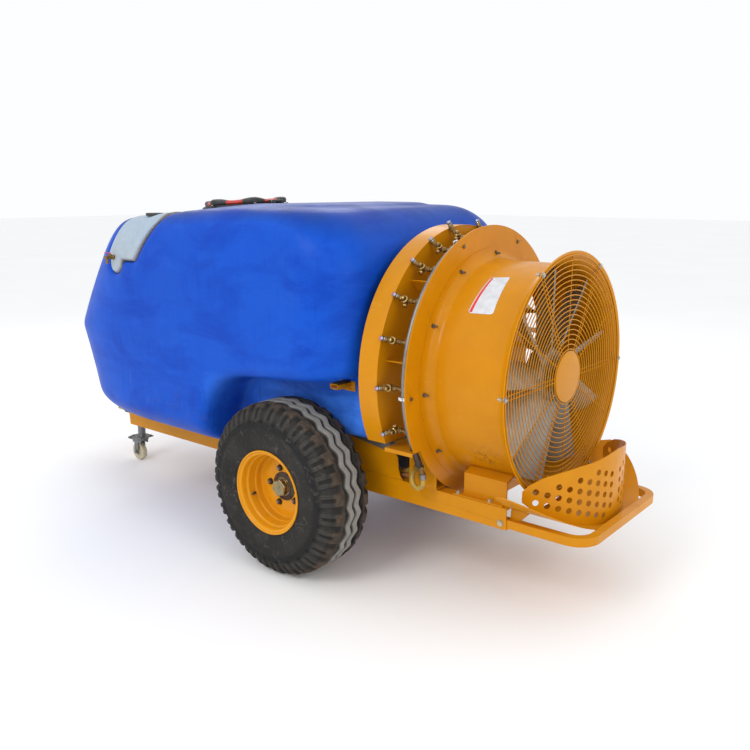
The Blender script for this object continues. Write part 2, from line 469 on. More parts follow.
def main_field(x, y, z):
    F, S = body_field(x, y, z)
    F = F + np.zeros((x.shape[0], y.shape[1], z.shape[2]))
    dA = np.maximum(sd_poly(ARCH, x[:, :, 0][:, :, None], z) + 0 * y, .421 - np.abs(y)); F = smax(F, -dA, .055)
    dB = np.maximum(-.200 - x, z - .562) + 0 * y; F = smax(F, -dB, .03)
    dC = np.maximum(np.maximum(x + .190, np.abs(y) - .090), z - .562); F = smax(F, -dC, .03)
    dS = seat(x, y, z) - .002; F = smax(F, -dS, .016)
    # moulded stiffening swell along the shoulder and slight sag of the walls
    F = F + .0018 * np.sin(x * 7.3 + 1.1) * np.sin(z * 6.1) + .0014 * np.sin(x * 3.1 - z * 9.7)
    return F
FILL = T(AX - .820, 0, 1.433) @ R("y", -3.9)
fill_c, fill_n = FILL[:3, 3], FILL[:3, 2]
def over_hole(c):
    d = c - fill_c; along = d @ fill_n; r = np.linalg.norm(d - along[:, None] * fill_n, axis=1)
    return (r < .181) & (along > -.06)
tank = shell_piece((-1.70, -.70, .33), (.40, .70, 1.53), .010, main_field, 3, "tank_shell", BLUE, ["main_tank"], over_hole)
b = B()
X = T(AX - 1.436, -.333, .381) @ TOX
b.add(lathe([(.0085, .002), (.0085, -.001), (.011, 0), (.011, .26)], 24), 0, X)
b.obj("tank_drain_spigot", BLUE)
def wash_field(x, y, z):
    F, S = body_field(x, y, z)
    F = smax(F - .003 + 0 * y, seat(x, y, z) + .0015, .013)
    return smax(F, -np.maximum(np.hypot(x + .845, y + .515) - .047, 1.408 - z), .006)
wash = shell_piece((-1.16, -.70, 1.13), (-.68, -.42, 1.54), .005, wash_field, 2, "wash_tank_shell", WASH, ["wash_tank"])
def seam_field(x, y, z):
    F, S = body_field(x, y, z)
    return np.maximum(F + .0060 + 0 * y, np.maximum(np.maximum(seat(x, y, z) - .0035, y + .462), -np.maximum(np.hypot(x + .845, y + .515) - .052, 1.400 - z)))
shell_piece((-1.17, -.70, 1.12), (-.67, -.42, 1.54), .005, seam_field, 1, "wash_tank_joint", SEAM, [])
b = B(); X = T(AX - .845, -.515, 0)
b.add(lathe([(.0280, 1.350), (.0280, 1.4190), (.0335, 1.4190), (.0340, 1.4180), (.0340, 1.4110), (.0380, 1.4085)], 48), 0, X)
b.obj("wash_tank_neck", WASH)
b = B()
b.add(lathe([(.0345, 1.4125), (.0345, 1.4192), (0, 1.4194)][::-1], 48), 0, X)
ridge = [(.0420, 1.4121), (.0422, 1.4220), (.0405, 1.4240), (.034, 1.4242), (.033, 1.4232), (.012, 1.4232), (.010, 1.4242), (0, 1.4242)]
V, F = lathe([(.0348, 1.4121)] + ridge, 72); V = np.array(V); a_ = np.arctan2(V[:, 1], V[:, 0]); rr = np.hypot(V[:, 0], V[:, 1])
k_ = np.where((rr > .0415) & (np.round(a_ / (math.pi / 36)).astype(int) % 2 == 0), .968, 1.); V[:, 0] *= k_; V[:, 1] *= k_
b.add((V, F), 0, X); b.obj("wash_cap_ribbed", BLACKP, "wash_screw_cap", replaces=["wash_cap"])

# ---------------------------------------------------------------- filling point: collar, basket, lid
b = B()
b.add(loopit([(.156, -.016), (.1695, -.016), (.1695, .0007), (.203, .0007), (.205, .0025), (.205, .0145), (.2025, .017), (.160, .017), (.156, .0135)], 96), 0, FILL)
for a_ in range(30, 360, 60):
    Xa = FILL @ R("z", a_); b.add(brick(.197, .218, -.016, .016, .0009, .0165, .003), 0, Xa)
    b.add(hexa(.006, .0165, .0205, .0008), 1, Xa @ T(.2095, 0, 0))
for s_ in (-1, 1): b.add(brick(.197, .232, .020 if s_ > 0 else -.034, .034 if s_ > 0 else -.020, .0009, .031, .003), 0, FILL)
b.obj("collar_ring", [BLACKP, ZINC], replaces=["tank_collar"])
b = B()
V, F = lathe([(.1455, .0195), (.1455, -.184), (0, -.184)], 72); b.add((V, F), 0, FILL)
b.add(loopit([(.1455, .0175), (.166, .0175), (.166, .0203), (.1455, .0203)], 72), 1, FILL)
for k in range(12):
    Xk = FILL @ R("z", k * 30); b.add(brick(.1452, .150, -.004, .004, -.186, .018, .001), 1, Xk)
for z_ in (-.06, -.125, -.183): b.add(tube([(.1475 * math.cos(t), .1475 * math.sin(t), z_) for t in np.arange(72) * math.pi / 36], .003, 8, closed=True), 1, FILL)
def mesh_mat():
    a = Mat("strainer_mesh"); w = a.n("ShaderNodeTexWave"); w.inputs["Scale"].default_value = 190; w.bands_direction = "Z"; a.l(a.tc.outputs["Object"], w.inputs["Vector"])
    w2 = a.n("ShaderNodeTexWave"); w2.inputs["Scale"].default_value = 190; w2.bands_direction = "DIAGONAL"; a.l(a.tc.outputs["Object"], w2.inputs["Vector"])
    g = a.math("MAXIMUM", w.outputs["Fac"], w2.outputs["Fac"]); c = a.mix(g, (.05, .05, .05), (.36, .36, .33)); a.color(c); a.rough(a.ramp(g, 0, 1, .7, .4)); a.bump((g, .6, .0008)); return a.m
b.obj("basket_mesh", [mesh_mat(), MESHP], replaces=["strainer_basket"])
b = B()
lid = [(0, .0207), (.172, .0207), (.176, .0235), (.176, .0300), (.173, .0327), (.150, .0345), (.146, .0318), (.072, .0318), (.066, .0335), (.060, .0390), (.056, .0425), (0, .0430)]
b.add(lathe(lid, 120), 0, FILL)
t_ = np.radians(np.arange(0, 360, 1.5)); lobe = .5 + .5 * np.cos(6 * (t_ - math.radians(30)))
ro = .1800 + .0260 * lobe ** 1.6; zt = .0375 + .0100 * lobe ** 1.3
ringp = []
for rr_, zz_ in ((.150 + 0 * ro, .0320 + 0 * zt), (.154 + 0 * ro, zt - .001), (.165 + 0 * ro, zt + .0010), (ro - .012, zt), (ro - .003, zt - .0045), (ro, zt - .012), (ro - .002, .0215 + 0 * zt), (ro - .006, .0205 + 0 * zt), (.160 + 0 * ro, .0205 + 0 * zt)):
    ringp.append(np.stack([rr_ * np.cos(t_), rr_ * np.sin(t_), zz_], 1))
m_ = len(t_); Vr = np.concatenate(ringp); Fr = []
for q in range(len(ringp)):
    q2 = (q + 1) % len(ringp)
    for k in range(m_): k2 = (k + 1) % m_; Fr.append((q * m_ + k, q2 * m_ + k, q2 * m_ + k2, q * m_ + k2))
Fk = [f for f in Fr if lobe[f[0] % m_] > .42]; Fd = [f for f in Fr if lobe[f[0] % m_] <= .42]
b.add((Vr, [tuple(reversed(f)) for f in Fk]), 1, FILL); b.add((Vr, [tuple(reversed(f)) for f in Fd]), 0, FILL)
for k in range(8): b.add(brick(.064, .148, -.004, .004, .0300, .0372, .0016), 0, FILL @ R("z", k * 45))
b.add(lathe([(0, .0432), (.034, .0432), (.040, .0448), (.041, .0432), (.041, .0420)][::-1], 64), 1, FILL)
b.add(brick(.163, .214, -.018, .018, .0209, .0298, .003), 1, FILL)
Xh = FILL @ T(.220, 0, .024) @ TONY
b.add(cyl(.008, -.0195, .0195, .0012), 1, Xh); b.add(cyl(.0039, -.0362, .0362, .0005, 20), 2, Xh)
b.add(brick(-.196, -.168, -.016, .016, .0232, .0298, .003), 1, FILL)
b.obj("lid_red", [REDP, BLACKP, ZINC], "lid", replaces=["tank_lid"])

# ---------------------------------------------------------------- tyres
def tyre_piece(side):
    prof = [(200.6, 93), (200.6, 112), (197, 118.5), (190, 119.8), (181, 119.6), (165, 125), (150, 128.3), (138, 130.5), (118, 131.8), (100, 132), (82, 130.2), (64, 127), (50, 121.7), (36, 115), (27, 108.6), (18, 101), (11, 94), (6, 86), (3, 78.3), (1, 70), (.35, 58), (0, 45), (0, 22), (0, 0)]
    prof = prof + [(d, -y) for d, y in prof[-2::-1]]
    P = np.array([((.355 - d / 1000), -y / 1000) for d, y in prof])            # (radius, local z) outer side first is negative
    L = np.concatenate([[0], np.cumsum(np.hypot(*np.diff(P, axis=0).T))])
    # denser stations on the tread and shoulders
    s = np.concatenate([np.linspace(0, L[8], 16)[:-1], np.linspace(L[8], L[14], 34)[:-1], np.linspace(L[14], L[-15], 120)[:-1], np.linspace(L[-15], L[-9], 34)[:-1], np.linspace(L[-9], L[-1], 16)])
    r, zl = np.interp(s, L, P[:, 0]), np.interp(s, L, P[:, 1])
    for _ in range(2):
        r[1:-1] = (r[:-2] + 2 * r[1:-1] + r[2:]) / 4; zl[1:-1] = (zl[:-2] + 2 * zl[1:-1] + zl[2:]) / 4
    tr, tz = np.gradient(r), np.gradient(zl); ln = np.hypot(tr, tz); nr, nz = tz / ln, -tr / ln
    np_ = 27; nt = np_ * 30; th = np.arange(nt) * 2 * math.pi / nt
    R_, TH = np.meshgrid(r, th, indexing="xy"); ZL = np.broadcast_to(zl, R_.shape)
    ph = (TH * np_ / (2 * math.pi)) % 1.0
    dep = (.355 - R_) * 1000; y = np.abs(ZL) * 1000; sgn = np.sign(ZL)
    tri = lambda p: 4 * np.abs(((p) % 1) - .5) - 1                       # +-1 zig-zag
    ss = lambda e0, e1, v: (lambda t: t * t * (3 - 2 * t))(np.clip((v - e0) / (e1 - e0), 0, 1))
    g = np.zeros_like(R_); Y = ZL * 1000
    for y0, w_, amp in ((-40, 8.6, 8.0), (0, 8.2, 8.0), (40, 8.6, 8.0)):
        z_ = amp * np.clip(tri(ph) * 1.35, -1, 1)
        d = np.abs(Y - y0 - z_); g = np.maximum(g, 1 - ss(w_ * .70, w_ * 1.08, d))
    # valleys between the shoulder blocks, running down the sidewall, and a U-shaped notch in each block
    pn = np.abs(((ph - np.where(sgn > 0, 0, .5)) + .5) % 1 - .5)
    wn = .20 - .05 * ss(10, 70, dep); n1 = (1 - ss(wn * .62, wn * 1.15, pn)) * ss(56, 72, y) * (1 - ss(62, 76, dep))
    pm = np.abs(((ph - np.where(sgn > 0, .5, 0)) + .5) % 1 - .5)
    n2 = (1 - ss(.075, .120, pm)) * ss(88, 96, y) * (1 - ss(50, 62, dep))
    n3 = (1 - ss(.012, .030, np.abs(pm - .225))) * ss(104, 110, y) * (1 - ss(50, 62, dep)) * .5
    D = np.maximum(.0105 * g, np.maximum(.0100 * n1, np.maximum(.0075 * n2, .003 * n3)))
    D = D + .0026 * ss(64, 70, dep) * (1 - ss(84, 100, dep)) * (y > 90)
    rings = 0
    for d0, w_, h_ in ((104, 1.5, .0016), (128, 1.2, .0007), (150, 2.2, .0016), (168, 1.6, .0018), (186, 1.6, .0013)): rings = rings + h_ * np.exp(-((dep - d0) / w_) ** 2) * (y > 90)
    D = D - rings
    D = D + .00012 * np.sin(TH * 61 + y * .05) * (dep > 70)
    Rn, Zn = R_ - nr * D * 1.0, ZL - nz * D
    sp = 1 if side == "left" else -1
    V = np.stack([Rn * np.cos(TH), Rn * np.sin(TH), Zn], -1).reshape(-1, 3)
    m = len(r); i = np.arange(nt)[:, None]; j = np.arange(m - 1)[None, :]; i2 = (i + 1) % nt
    F = np.stack([i * m + j, i2 * m + j, i2 * m + j + 1, i * m + j + 1], -1).reshape(-1, 4)
    groove = np.maximum(g, np.maximum(n1 * .42, np.maximum(n2 * .85, n3 * .8))).reshape(-1)
    tread = (1 - ss(38, 44, np.abs(Y - 8 * np.clip(tri(ph) * 1.35, -1, 1)))).reshape(-1)
    pad = ((ss(50, 60, y) * (1 - ss(92, 104, y))) * (1 - np.maximum(g, n1))).reshape(-1)
    # outline check of face direction: outward normal for the tread must point away from the axis
    a_, b_, c_ = V[F[0, 0]], V[F[0, 1]], V[F[0, 2]]
    mid = int(nt // 8) * (m - 1) + (m - 1) // 2; q = V[F[mid]]; nrm = np.cross(q[1] - q[0], q[2] - q[0]); rad = q[0].copy(); rad[2] = 0
    if nrm @ rad < 0: F = F[:, ::-1]
    return V, F, dict(groove=groove, tread=tread, pad=pad, dep=np.clip(dep / 200, 0, 1).reshape(-1) * (y.reshape(-1) > 60))
V, F, at = tyre_piece("left")
XW = T(AX, -.560, AZ) @ TONY
for side, X in (("left", XW), ("right", MIRY @ XW)):
    Vs = V.copy(); Fs = F
    b = B(); b.add((Vs, Fs), 0, X)
    b.obj("tyre_tread_" + side, TYRE, "wheel_" + side, angle=180, replaces=["tyre_" + side], attrs=at)
    body = "wheel_" + side
    # rim lips, valve
    b = B()
    fr = [(.1640, .1185), (.1712, .1188), (.1724, .1215), (.1722, .1245), (.1705, .1262), (.1680, .1262), (.1660, .1248), (.1640, .1205), (.1622, .1188), (.1600, .1180), (.1566, .1176), (.1545, .1160), (.1532, .1125),
          (.1516, .0960), (.1508, .0925), (.1490, .0905), (.1465, .0893), (.1447, .0872), (.1436, .0830), (.1412, .0600), (.1404, .0565), (.1388, .0545), (.1368, .0530), (.1355, .0505), (.1348, .0460), (.1338, .0310), (.1330, .0272), (.1306, .0250), (.1270, .0244), (.1150, .0243), (.1080, .0252), (.1040, .0254), (.1000, .0246), (.0640, .0243), (.0610, .0236), (.0520, .0234), (.0393, .0234), (.0393, .0165)]
    b.add(lathe(fr[::-1], 128), 0, X)
    bk = [(.0393, .0165), (.1280, .0163), (.1318, .0140), (.1330, .0080), (.1338, -.0420), (.1350, -.0500), (.1395, -.0540), (.1475, -.0890), (.1500, -.0960), (.1532, -.1125), (.1566, -.1176), (.1622, -.1188), (.1640, -.1205), (.1660, -.1248), (.1680, -.1262), (.1705, -.1262), (.1722, -.1245), (.1724, -.1215), (.1712, -.1188), (.1640, -.1185)]
    b.add(lathe(bk[::-1], 128), 0, X)
    b.obj("rim_pressed_" + side, AMBER_RIM, body, angle=50, replaces=["rim_" + side])
    b = B()
    b.add(lathe([(.0345, .0236), (.0590, .0238), (.0600, .0250), (.0590, .0262), (.0520, .0268), (.0480, .0290), (.0400, .0296), (.0360, .0300)][::-1], 64), 0, X)
    for k in range(6): b.add(hexa(.0050, .0262, .0300, .0008), 0, X @ R("z", k * 60 + 12) @ T(.0530, 0, 0))
    b.obj("hub_face_" + side, DARK_STEEL, body)
    b = B(); Xv = X @ R("z", 200) @ T(.137, 0, .070) @ R("y", -35)
    b.add(lathe([(.006, -.008), (.0062, .004), (.0045, .008), (.0042, .020), (.0048, .0202), (.0048, .030), (.004, .0315), (0, .0315)][::-1], 20), 0, Xv)
    b.obj("valve_stem_" + side, BLACKP, body)
    # hub
    b = B()
    b.add(lathe([(.0228, -.060), (.0390, -.060), (.0390, .0046), (.0950, .0050), (.0970, .0068), (.0970, .0140), (.0953, .0157), (.0480, .0157), (.0455, .0190), (.0440, .0262), (.0385, .0290), (.0375, .0300), (.0345, .0306), (.0340, .0320), (.0345, .0335), (.0345, .0362), (.0332, .0372), (.0345, .0382), (.0345, .0412), (.0338, .0430), (.0, .0430)][::-1], 72), 0, X)
    b.add(hexa(.0370, .0430, .0585, .0022, phase=.35), 0, X)
    b.add(lathe([(.0300, .0580), (.0290, .0597), (.0120, .0602), (.0105, .0596), (0, .0596)][::-1], 48), 0, X)
    b.obj("hub_steps_" + side, ZINC_HUB, body, replaces=["hub_" + side])
    b = B()
    for k in range(5):
        f_ = math.radians(57 + k * 72); Xn = X @ T(.077 * math.sin(f_), .077 * math.cos(f_), 0)
        b.add(loopit([(.0066, .0232), (.0134, .0232), (.0140, .0240), (.0134, .0256), (.0066, .0256)][::-1], 32), 0, Xn)
        b.add(hexa(.0120, .0254, .0360, .0014, phase=k * .7), 0, Xn)
        b.add(lathe([(.0065, .0), (.0065, .0388), (.0055, .0400), (0, .0400)][::-1], 20), 1, Xn)
    b.obj("wheel_nuts_worn_" + side, [DARK_STEEL, GREY_STEEL], body, replaces=["wheel_nuts_" + side])

b = B()
for S in (np.eye(4), MIRY):
    for q in ((.185, .225, -.505, -.4215, .7920, .7960), (.185, .189, -.505, -.4215, .7740, .7960), (.221, .225, -.505, -.4215, .7740, .7960), (.185, .225, -.505, -.501, .7740, .7800), (.165, .245, -.4265, -.4215, .7560, .7960)):
        b.add(brick(AX + q[0], AX + q[1], q[2], q[3], q[4], q[5], .0008), 0, S)
b.obj("bracket_channels", AMBER, replaces=["tank_brackets"])

# rubber strips between the tank and the frame
b = B()
def plate_xz(P, y0, y1, r=.0015):
    P = np.asarray(P, float); n = len(P); Vp = np.concatenate([np.stack([P[:, 0], np.full(n, y), P[:, 1]], 1) for y in (y0, y1)])
    return Vp, [tuple(range(n)), tuple(range(2 * n - 1, n - 1, -1))] + [((i + 1) % n, i, n + i, n + (i + 1) % n) for i in range(n)]
for S in (np.eye(4), MIRY):
    b.add(plate_xz([(AX - .110, .5455), (AX + .110, .5455), (AX + .362, .5086), (AX + .362, .530), (AX + .328, .5615), (AX - .110, .5615)], -.3400, -.3085), 0, S)
    b.add(brick(AX - 1.100, AX - .480, -.331, -.285, .3655, .3775, .002), 0, S)
b.obj("tank_strips", RUBBER, replaces=["tank_mats"])

# ---------------------------------------------------------------- fan duct, guard, fan
def ring_prof():
    p = [(.468, .5841), (.468, .5872)]
    p += [(.458 + .038 * math.cos(math.radians(-90 - 90 * i / 12)), .625 + .038 * math.sin(math.radians(-90 - 90 * i / 12))) for i in range(13)]
    p += [(.484 + .064 * math.cos(math.radians(180 - 75.5 * i / 16)), .868 + .064 * math.sin(math.radians(180 - 75.5 * i / 16))) for i in range(17)]
    x1, r1 = p[-1][1], p[-1][0]
    p += [(r1 + .0015, x1 + .0002), (r1 + .002, x1 + .002), (r1 + .0008, x1 + .0034)]
    p += [(.484 + .067 * math.cos(math.radians(180 - 75.5 * i / 16)), .868 + .067 * math.sin(math.radians(180 - 75.5 * i / 16))) for i in range(16, -1, -1)][1:]
    p += [(.458 + .041 * math.cos(math.radians(-90 - 90 * i / 12)), .6251 + .041 * math.sin(math.radians(-90 - 90 * i / 12))) for i in range(12, -1, -1)]
    return p
XF = T(AX, 0, FZ) @ TOX
b = B(); b.add(loopit(ring_prof(), 200), 0, XF)
# rolled seam where the cylinder is joined, at the lower far side
b.add(brick(.4186, .4210, -.0022, .0022, .640, .845, .0007), 0, XF @ R("z", 118))
b.obj("duct_spun", AMBER_DUCT, replaces=["fan_duct"], angle=28)
b = B()
for k in range(11):
    Xs = fan(-5 + k * 360 / 11) @ T(0, -.445, 0) @ TOX
    z0 = .5873 + AX
    b.add(loopit([(.0042, z0 - .0001), (.0098, z0 - .0001), (.0100, z0 + .0004), (.0098, z0 + .0012), (.0042, z0 + .0012)][::-1], 24), 0, Xs)
    b.add(hexa(.008, z0 + .0010, z0 + .0072, .0011, phase=k * .9), 0, Xs)
    b.add(lathe([(.004, .575 + AX), (.004, .6078 + AX), (.0032, .6090 + AX), (0, .6090 + AX)][::-1], 16), 0, Xs)
    for q in range(9): b.add(loopit([(.0038, .5965 + AX + q * .0013), (.0044, .5970 + AX + q * .0013), (.0038, .5975 + AX + q * .0013)][::-1], 12), 0, Xs)
    b.add(hexa(.008, .5740 + AX, .5797 + AX, .0011, phase=k * .5), 0, Xs)
for a_ in (67.5, 112.5, -4.5, 184.5):
    Xs = fan(a_) @ T(0, -.519, 0) @ TOX
    b.add(hexa(.0078, .5842 + AX, .5895 + AX, .0012, phase=.2), 0, Xs); b.add(cyl(.004, .580 + AX, .5875 + AX, .0005, 16), 0, Xs)
b.obj("duct_nuts", [STUD], replaces=["duct_studs"])
b = B()
for k in range(20):
    r_ = .105 + (.4545 - .105) * k / 19; t_ = np.arange(144) * 2 * math.pi / 144
    b.add(tube(np.stack([r_ * np.cos(t_), r_ * np.sin(t_), np.full(144, .9309)], 1), .0021 if k < 19 else .0030, 8, closed=True), 0, XF)
for a_ in range(0, 360, 60):
    Xa = fan(a_) @ T(MOUTH - AX - .9300, 0, 0)
    arc_ = [(.9266 + AX, -.461 - .008 * math.sin(t), .008 * math.cos(t)) for t in np.linspace(0, math.pi, 11)]
    path = [(.9266 + AX, -.064, .008)] + [(.9266 + AX, -.064 - (.457 - .064) * t, .008) for t in np.linspace(.1, 1, 10)] + arc_ + [(.9266 + AX, -.064 - (.457 - .064) * t, -.008) for t in np.linspace(1, .1, 10)] + [(.9266 + AX, -.064, -.008)]
    b.add(tube(path, .0021, 8), 0, fan(a_))
    b.add(tube([(.9272 + AX, -.064 - .390 * t, 0) for t in np.linspace(0, 1, 24)], .0021, 8), 0, fan(a_ + 30))
for a_ in range(0, 360, 30):
    for off in ((-.008, .008) if a_ % 60 == 0 else (0,)):
        for k in range(20):
            r_ = .105 + (.4545 - .105) * k / 19; yy = math.sqrt(r_ * r_ - off * off)
            b.add(lathe([(0, -.0030), (.0026, -.0016), (.0032, 0), (.0026, .0014), (0, .0022)][::-1], 7), 0, fan(a_) @ T(.9290 + AX, -yy, off) @ TOX)
b.add(lathe([(.0, .9295), (.0610, .9205), (.0615, .9285), (.0972, .9288), (.0982, .9300), (.0975, .9322), (.0930, .9340), (.0820, .9346), (.0620, .9356), (.0, .9362)][::-1], 96), 0, XF)
b.add(loopit([(.092, .9338), (.0955, .9348), (.0985, .9330), (.0985, .9300), (.095, .9310)], 96), 0, XF)
b.obj("guard_wires", AMBER_WIRE, replaces=["fan_guard"])
b = B()
for a_ in range(0, 360, 60):
    Xs = fan(a_) @ T(0, -.461, 0) @ TOX
    b.add(loopit([(.0042, .9322 + AX), (.0100, .9322 + AX), (.0103, .9330 + AX), (.0100, .9338 + AX), (.0042, .9338 + AX)][::-1], 28), 0, Xs)
    b.add(hexa(.008, .9336 + AX, .9390 + AX, .0013, phase=a_), 0, Xs)
    b.add(lathe([(.004, .905 + AX), (.004, .9400 + AX), (.0034, .9408 + AX), (0, .9408 + AX)][::-1], 16), 0, Xs)
    b.add(hexa(.008, .9140 + AX, .9200 + AX, .0012), 0, Xs)
b.obj("guard_nuts", [ZINC], replaces=["guard_bolts"])
# hub with its ribs and cap, shaft nut
b = B()
b.add(lathe([(.0201, .790), (.058, .790), (.062, .7915), (.093, .7995), (.0985, .806), (.100, .811), (.100, .860), (.0975, .866), (.090, .872), (.070, .8745), (.066, .8715), (.048, .8715), (.044, .878), (.040, .880), (.0201, .880)][::-1], 96), 0, XF)
for k in range(9): b.add(brick(.868, .8755, -.003, .003, .046, .088, .001), 0, XF @ R("y", 0) @ R("z", 90 + k * 40) @ np.array([[0, 0, 1, 0], [0, 1, 0, 0], [1, 0, 0, 0], [0, 0, 0, 1.]]))
for k in range(6): b.add(hexa(.0065, .8718, .8770, .001), 1, XF @ R("z", k * 60 + 20) @ T(.057, 0, 0))
b.obj("fan_hub_ribbed", [FANGREY, DARK_STEEL], "fan", replaces=["fan_hub"])
dress("fan_blades", FANGREY, .0018)
# label left blank on the duct, its edge band plain red
def lerp(a, b, t): return a + (b - a) * t
tl, tr, br, bl = (.705, 62.4), (.778, 64.2), (.797, 38.3), (.694, 37.8)
nu, nv = 26, 40; Vl, Fl, Ml = [], [], []
for j in range(nv + 1):
    for i in range(nu + 1):
        u, v = i / nu, j / nv
        # rounded corners
        cu = min(u, 1 - u); cv = min(v, 1 - v); rr_ = .12; rv = .06
        if cu < rr_ and cv < rv:
            e = 1 - cv / rv; lim = rr_ * (1 - math.sqrt(max(0, 1 - e * e)))
            u = max(lim, u) if u < .5 else min(1 - lim, u)
        x_ = lerp(lerp(tl[0], tr[0], u), lerp(bl[0], br[0], u), v); a_ = math.radians(lerp(lerp(tl[1], tr[1], u), lerp(bl[1], br[1], u), v))
        Vl.append((x_ + AX, -.42065 * math.cos(a_), FZ + .42065 * math.sin(a_)))
for j in range(nv):
    for i in range(nu):
        Fl.append((j * (nu + 1) + i, (j + 1) * (nu + 1) + i, (j + 1) * (nu + 1) + i + 1, j * (nu + 1) + i + 1)); Ml.append(1 if 1 <= i < 4 and 1 <= j < nv - 1 else 0)
b = B(); b.v.append(np.array(Vl)); b.f = Fl; b.m = Ml; b.n = len(Vl); b.obj("blank_panel", [WHITE, REDBAND])

# ---------------------------------------------------------------- spraying: bars, nozzles, hoses
b = B(); c = B(); cl = B()
for S in (np.eye(4), MIRY):
    P = [(AX + .558, -.525 * math.cos(t), FZ + .525 * math.sin(t)) for t in np.radians(np.linspace(-28, 86, 90))]
    b.add(tube(P, .0100, 20), 0, S)
    b.add(hexa(.0125, -.012, .010, .0012), 0, S @ fan(86) @ T(AX + .558, -.525, 0))
    Xt = S @ fan(-28) @ T(AX + .558, -.525, 0)
    b.add(lathe([(.0108, .006), (.0118, .002), (.0118, -.040), (.0124, -.042), (.0130, -.050), (.0130, -.072), (.0118, -.076)][::-1], 28), 1, Xt)
    b.add(hexa(.0150, -.101, -.086, .0014), 3, Xt); b.add(hexa(.0138, -.085, -.076, .0012, phase=.4), 1, Xt)
    b.add(lathe([(.0105, -.100), (.0105, -.1225)][::-1], 28), 3, Xt)
    for a_ in (-4.5, 67.5):
        Xc = S @ fan(a_)
        cl.add(brick(AX + .545, AX + .5722, -.5395, -.5355, -.0065, .0065, .0012), 0, Xc); cl.add(brick(AX + .545, AX + .5722, -.5140, -.5100, -.0065, .0065, .0012), 0, Xc)
        cl.add(brick(AX + .543, AX + .5480, -.5400, -.5100, -.0065, .0065, .0012), 0, Xc); cl.add(brick(AX + .5690, AX + .5735, -.5330, -.5120, -.0060, .0060, .001), 0, Xc)
        cl.add(hexa(.0065, .5395, .5440, .0008), 0, Xc @ T(AX + .5575, 0, 0) @ TONY)
    # saddle collars where each nozzle leaves the pipe
for S in (np.eye(4), MIRY):
    for a_ in (-20.4, -1.4, 17.5, 34.8, 51.3, 65.2, 79.6):
        e_ = .016 if a_ > 75 else 0
        XB = S @ fan(a_) @ T(AX + .486, -.513, 0)
        # branch pipe, its two hexagons and the socket on the bar
        c.add(lathe([(.0068, .006), (.0068, .062)], 20), 0, XB @ TOX)
        c.add(hexa(.0106, .0180, .0270, .0012), 0, XB @ TOX); c.add(loopit([(.006, .0275), (.0090, .0280), (.0094, .0310), (.0090, .0345), (.006, .0350)][::-1], 24), 0, XB @ TOX)
        c.add(lathe([(.0066, .050), (.0090, .0520), (.0100, .0560), (.0104, .0640)][::-1], 24), 0, XB @ T(0, -.006, 0) @ TOX)
        c.add(lathe([(0, -.0128), (.005, -.0120), (.0095, -.0090), (.0122, -.0045), (.0130, 0), (.0122, .0045), (.0095, .0090), (.005, .0120), (0, .0128)][::-1], 28), 0, XB)
        # check-valve bonnet facing outwards
        c.add(lathe([(.0118, .003), (.0142, .0062), (.0146, .0080), (.0146, .0130), (.0134, .0148), (.0104, .0152)][::-1], 32), 3, XB @ TONY); c.add(lathe([(.0108, .0150), (.0100, .0138), (.0088, .0140), (.0086, .0235), (.0076, .0255), (.0050, .0258)][::-1], 32), 0, XB @ TONY); c.add(lathe([(.0052, .0256), (.0050, .0268), (.0036, .0276), (0, .0278)][::-1], 24), 3, XB @ TONY)
        # side cap with knob
        if a_ < -10 or a_ > 30:
            XK = XB @ T(.003, .001, 0) @ (np.eye(4) if a_ < 0 else R("x", 180))
            c.add(lathe([(.0060, .008), (.0060, .0165)][::-1], 20), 0, XK); c.add(hexa(.0088, .0105, .0150, .0010), 0, XK); c.add(lathe([(.0062, .0160), (.0098, .0168), (.0104, .0190), (.0092, .0226), (.0050, .0246), (0, .0250)][::-1], 24), 3, XK)
        # arm and head
        XA = XB @ R("z", -32) @ TONY
        c.add(lathe([(.0080, .008), (.0080, .012 + e_)][::-1], 24), 0, XA); XA = XA @ T(0, 0, e_)
        c.add(lathe([(.0078, .008), (.0070, .0140), (.0070, .0165), (.0084, .0170), (.0084, .0310)][::-1], 24), 0, XA)
        c.add(hexa(.0112, .0180, .0265, .0014, phase=.3), 0, XA)
        V_, F_ = lathe([(.0070, .0290), (.0096, .0296), (.0100, .0310), (.0100, .0380), (.0094, .0396), (.0070, .0402)][::-1], 40)
        V_ = np.array(V_); aa = np.arctan2(V_[:, 1], V_[:, 0]); kk = np.where(np.round(aa / (math.pi / 20)).astype(int) % 2 == 0, .955, 1.); V_[:, 0] *= kk; V_[:, 1] *= kk
        c.add((V_, F_), 0, XA)
        c.add(lathe([(.0070, .0400), (.0088, .0406), (.0088, .0440)][::-1], 32), 1, XA); c.add(lathe([(.0088, .0438), (.0080, .0444), (.0080, .0474), (.0088, .0480)][::-1], 32), 4, XA)
        c.add(lathe([(.0088, .0480), (.0090, .0545), (.0086, .0562), (.0074, .0570), (.0070, .0562)][::-1], 32), 1, XA)
        c.add(lathe([(.0072, .0562), (.0060, .0572), (.0026, .0574), (.0018, .0560), (.0016, .0530), (0, .0530)][::-1], 24), 2, XA)
b.obj("spray_pipes", [PIPE, DARK_STEEL, BRIGHT, BRASS], replaces=["spray_bars"]); cl.obj("pipe_clips", BRIGHT)
c.obj("nozzle_castings", [BRASS, TIP, TIPRED, BRASS_FACE, DARK_STEEL], replaces=["nozzle_bodies", "nozzle_tips"])
